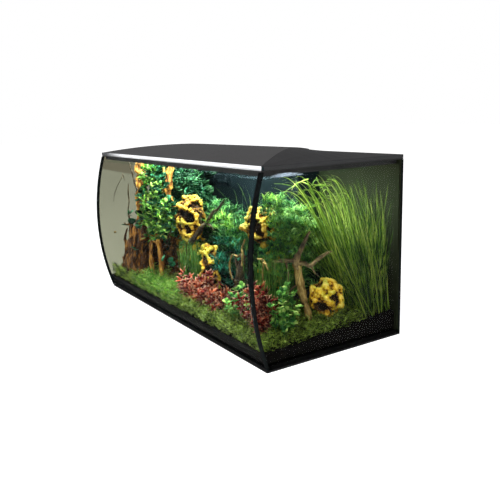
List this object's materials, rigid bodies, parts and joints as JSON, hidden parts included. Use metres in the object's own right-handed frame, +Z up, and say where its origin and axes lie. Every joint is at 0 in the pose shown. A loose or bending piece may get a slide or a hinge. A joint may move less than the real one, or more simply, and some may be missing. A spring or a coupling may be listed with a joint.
{
  "type": "glass aquarium tank",
  "caption": "Glass aquarium with a bowed front pane, low crowned hood with a lamp, rear filter and a planted bed.",
  "frame": {"origin": "on the surface that the tank stands on, under the middle of its outer box", "axes": "+X to the right along the front, +Y to the back, +Z up"},
  "size_m": [0.82, 0.395, 0.4184],
  "materials": {
    "glass": "polished",
    "silicone": "satin",
    "mat_foam": "matte",
    "film": "satin",
    "soil": "rough grains",
    "driftwood": "rough",
    "stone": "rough",
    "leaf_green": "leaf",
    "leaf_red": "leaf",
    "black_plastic": "satin",
    "shaft_ceramic": "smooth",
    "filter_foam": "open foam",
    "carbon": "mesh pouch",
    "media_ceramic": "porous",
    "hood_plastic": "fine satin grain",
    "pin_steel": "smooth",
    "trim_white": "gloss",
    "lamp_aluminium": "anodised",
    "lens_clear": "clear",
    "board_white": "solder mask"
  },
  "bodies": {
    "tank": {"base_mat": "mat_foam", "bottom_pane": "glass", "front_pane": "glass", "left_pane": "glass", "right_pane": "glass", "back_pane": "glass", "seam_front_left": "silicone", "seam_front_right": "silicone", "seam_back_left": "silicone", "seam_back_right": "silicone", "floor_seal": "silicone", "back_film": "film", "substrate_bed": "soil", "driftwood_left": "driftwood", "driftwood_fork": "driftwood", "rock_left": "stone", "rock_mid": "stone", "rock_right": "stone", "rock_arch": "stone", "fern_left": "leaf_green", "stems_back": "leaf_green", "red_stems_left": "leaf_red", "red_stems_right": "leaf_red", "round_leaf_front": "leaf_green", "moss_mass": "leaf_green", "stems_right": "leaf_green", "grass_back": "leaf_green", "filter_partition": "black_plastic", "divider_foam": "black_plastic", "divider_pump": "black_plastic", "pump_body": "black_plastic", "pump_cover": "black_plastic", "impeller_shaft": "shaft_ceramic", "return_pipe": "black_plastic", "outlet_manifold": "black_plastic", "nozzle_socket_left": "black_plastic", "nozzle_socket_right": "black_plastic"},
    "foam_cartridge": {"foam_block": "filter_foam", "foam_handle": "black_plastic"},
    "media_cartridge": {"media_basket": "black_plastic", "carbon_pouch": "carbon", "bio_media": "media_ceramic"},
    "impeller_rotor": {"impeller": "black_plastic"},
    "swivel_left": {"nozzle_ball_left": "black_plastic"},
    "spout_left": {"nozzle_tip_left": "black_plastic"},
    "swivel_right": {"nozzle_ball_right": "black_plastic"},
    "spout_right": {"nozzle_tip_right": "black_plastic"},
    "hood": {"rim_frame": "black_plastic", "wing_left": "hood_plastic", "wing_right": "hood_plastic", "rear_rail": "hood_plastic", "hinge_pin_left": "pin_steel", "hinge_pin_right": "pin_steel"},
    "lid": {"lid_panel": "hood_plastic", "front_trim": "trim_white", "lamp_housing": "lamp_aluminium", "lamp_lens": "lens_clear", "led_board": "board_white", "lamp_bracket_left": "black_plastic", "lamp_bracket_right": "black_plastic"}
  },
  "joints": [
    {"name": "hood_lift", "type": "slide", "parent": "tank", "child": "hood", "axis": [0, 0, 1], "range_m": [0, 0.12]},
    {"name": "lid_hinge", "type": "hinge", "parent": "hood", "child": "lid", "pos_m": [0, 0.1885, 0.395], "axis": [-1, 0, 0], "range_deg": [0, 80]},
    {"name": "foam_lift", "type": "slide", "parent": "tank", "child": "foam_cartridge", "axis": [0, 0, 1], "range_m": [0, 0.03]},
    {"name": "basket_lift", "type": "slide", "parent": "tank", "child": "media_cartridge", "axis": [0, 0, 1], "range_m": [0, 0.03]},
    {"name": "impeller_spin", "type": "hinge", "parent": "tank", "child": "impeller_rotor", "pos_m": [-0.343, 0.16, 0.047], "axis": [1, 0, 0], "continuous": true},
    {"name": "nozzle_left_swivel", "type": "hinge", "parent": "tank", "child": "swivel_left", "pos_m": [-0.275, 0.119, 0.308], "axis": [0, 0, 1], "range_deg": [-22, 22]},
    {"name": "nozzle_left_tilt", "type": "hinge", "parent": "swivel_left", "child": "spout_left", "pos_m": [-0.275, 0.119, 0.308], "axis": [1, 0, 0], "range_deg": [-18, 18]},
    {"name": "nozzle_right_swivel", "type": "hinge", "parent": "tank", "child": "swivel_right", "pos_m": [-0.19, 0.119, 0.308], "axis": [0, 0, 1], "range_deg": [-22, 22]},
    {"name": "nozzle_right_tilt", "type": "hinge", "parent": "swivel_right", "child": "spout_right", "pos_m": [-0.19, 0.119, 0.308], "axis": [1, 0, 0], "range_deg": [-18, 18]}
  ]
}
